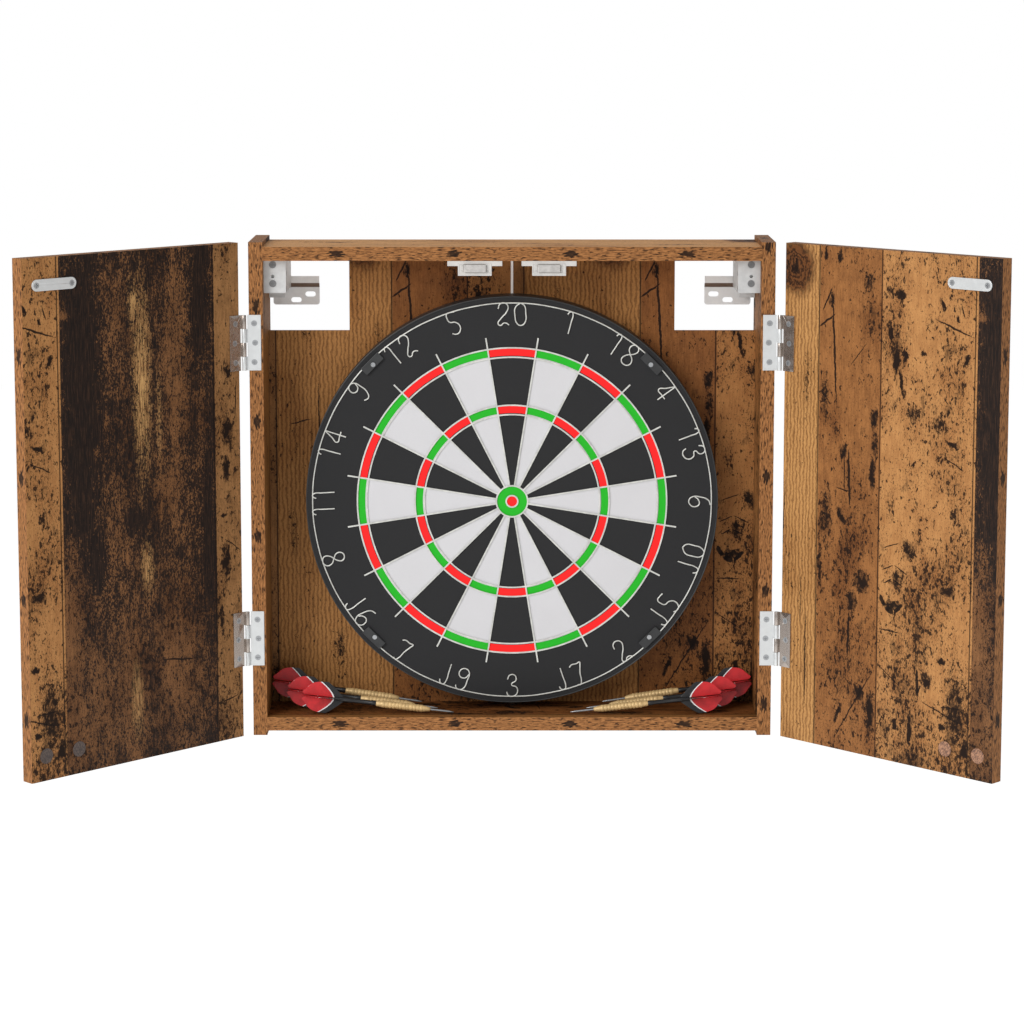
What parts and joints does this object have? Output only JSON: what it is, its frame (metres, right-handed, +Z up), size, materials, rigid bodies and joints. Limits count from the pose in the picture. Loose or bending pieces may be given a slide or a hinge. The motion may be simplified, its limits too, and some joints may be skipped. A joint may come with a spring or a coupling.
{
  "type": "dart board cabinet",
  "caption": "Wall-hung cabinet with two hinged plank-decor doors, a steel-tip dart board, magnetic catches, wall hangers and darts on its floor.",
  "frame": {"origin": "on the wall plane, straight behind the centre of the bull", "axes": "+X right, +Y towards the wall, +Z up; the doors open towards -Y"},
  "size_m": [1.0052, 0.3034, 0.54],
  "materials": {
    "plank_laminate": "reclaimed-plank decor on laminated board, satin, orange-brown edge banding",
    "plank_back": "reclaimed-plank decor on thin fibreboard, satin",
    "white_plastic": "white extruded plastic",
    "cap_foil": "plank decor foil on round stickers",
    "catch_plastic": "light grey moulded plastic",
    "magnet_steel": "zinc-plated magnet plate",
    "hanger_zinc": "zinc-plated pressed steel",
    "zinc_steel": "bright zinc-plated steel",
    "screw_steel": "bright zinc-plated steel",
    "sisal": "dyed sisal bristle in black, white, red and green fields",
    "band_black": "black lacquered steel",
    "wire_steel": "galvanised wire",
    "dart_brass": "turned brass barrel with a steel point",
    "flight_film": "red film flight with white stripe and black root, black stem"
  },
  "bodies": {
    "cabinet": {"side_panel_left": "plank_laminate", "side_panel_right": "plank_laminate", "top_panel": "plank_laminate", "bottom_panel": "plank_laminate", "back_panel_left": "plank_back", "back_panel_right": "plank_back", "back_joining_strip": "white_plastic", "carcass_screws": "screw_steel", "frame_leaf_left_upper": "zinc_steel", "frame_leaf_left_lower": "zinc_steel", "frame_leaf_right_upper": "zinc_steel", "frame_leaf_right_lower": "zinc_steel", "hinge_pins": "screw_steel", "frame_hinge_screws": "screw_steel", "catch_housing_left": "catch_plastic", "catch_housing_right": "catch_plastic", "catch_magnets": "magnet_steel", "fixing_screws": "screw_steel", "hanger_screws": "screw_steel", "hanger_body_left": "hanger_zinc", "hanger_body_right": "hanger_zinc", "hanger_depth_screws": "screw_steel", "board_core": "sisal", "board_rim_band": "band_black", "board_spider": "wire_steel", "number_ring": "wire_steel", "ring_clips": "band_black", "clip_screws": "screw_steel", "board_bracket": "zinc_steel", "board_centre_screw": "screw_steel"},
    "door_left": {"door_left": "plank_laminate", "door_leaf_left_upper": "zinc_steel", "door_leaf_left_lower": "zinc_steel", "door_screws_left": "screw_steel", "strike_plate_left": "zinc_steel", "cover_caps_left": "cap_foil"},
    "wall_hook_left": {"hanger_hook_left": "zinc_steel", "wall_plate_left": "zinc_steel"},
    "height_screw_left": {"hanger_height_screw_left": "screw_steel"},
    "dart_left_front": {"dart_left_front_barrel": "dart_brass", "dart_left_front_flight": "flight_film"},
    "dart_left_middle": {"dart_left_middle_barrel": "dart_brass", "dart_left_middle_flight": "flight_film"},
    "dart_left_rear": {"dart_left_rear_barrel": "dart_brass", "dart_left_rear_flight": "flight_film"},
    "door_right": {"door_right": "plank_laminate", "door_leaf_right_upper": "zinc_steel", "door_leaf_right_lower": "zinc_steel", "door_screws_right": "screw_steel", "strike_plate_right": "zinc_steel", "cover_caps_right": "cap_foil"},
    "wall_hook_right": {"hanger_hook_right": "zinc_steel", "wall_plate_right": "zinc_steel"},
    "height_screw_right": {"hanger_height_screw_right": "screw_steel"},
    "dart_right_front": {"dart_right_front_barrel": "dart_brass", "dart_right_front_flight": "flight_film"},
    "dart_right_middle": {"dart_right_middle_barrel": "dart_brass", "dart_right_middle_flight": "flight_film"},
    "dart_right_rear": {"dart_right_rear_barrel": "dart_brass", "dart_right_rear_flight": "flight_film"}
  },
  "joints": [
    {"name": "left_door_hinge", "type": "hinge", "parent": "cabinet", "child": "door_left", "pos_m": [-0.2876, -0.1025, 0], "axis": [0, 0, 1], "range_deg": [-60, 135]},
    {"name": "left_hanger_height", "type": "slide", "parent": "cabinet", "child": "wall_hook_left", "axis": [0, 0, 1], "range_m": [-0.004, 0.004]},
    {"name": "left_height_screw", "type": "hinge", "parent": "cabinet", "child": "height_screw_left", "pos_m": [-0.2576, -0.085, 0.2616], "axis": [0, 1, 0], "range_deg": [-125, 125]},
    {"name": "left_front_dart_slide", "type": "slide", "parent": "cabinet", "child": "dart_left_front", "axis": [1, 0, 0], "range_m": [0, 0.02]},
    {"name": "left_middle_dart_slide", "type": "slide", "parent": "cabinet", "child": "dart_left_middle", "axis": [1, 0, 0], "range_m": [0, 0.02]},
    {"name": "left_rear_dart_slide", "type": "slide", "parent": "cabinet", "child": "dart_left_rear", "axis": [1, 0, 0], "range_m": [0, 0.02]},
    {"name": "right_door_hinge", "type": "hinge", "parent": "cabinet", "child": "door_right", "pos_m": [0.2876, -0.1025, 0], "axis": [0, 0, 1], "range_deg": [-135, 60]},
    {"name": "right_hanger_height", "type": "slide", "parent": "cabinet", "child": "wall_hook_right", "axis": [0, 0, 1], "range_m": [-0.004, 0.004]},
    {"name": "right_height_screw", "type": "hinge", "parent": "cabinet", "child": "height_screw_right", "pos_m": [0.2576, -0.085, 0.2616], "axis": [0, 1, 0], "range_deg": [-125, 125]},
    {"name": "right_front_dart_slide", "type": "slide", "parent": "cabinet", "child": "dart_right_front", "axis": [-1, 0, 0], "range_m": [0, 0.02]},
    {"name": "right_middle_dart_slide", "type": "slide", "parent": "cabinet", "child": "dart_right_middle", "axis": [-1, 0, 0], "range_m": [0, 0.02]},
    {"name": "right_rear_dart_slide", "type": "slide", "parent": "cabinet", "child": "dart_right_rear", "axis": [-1, 0, 0], "range_m": [0, 0.02]}
  ],
  "couplings": [
    {"joint": "left_height_screw", "follows": "left_hanger_height", "rad_per_m": 523.6},
    {"joint": "right_height_screw", "follows": "right_hanger_height", "rad_per_m": 523.6}
  ]
}
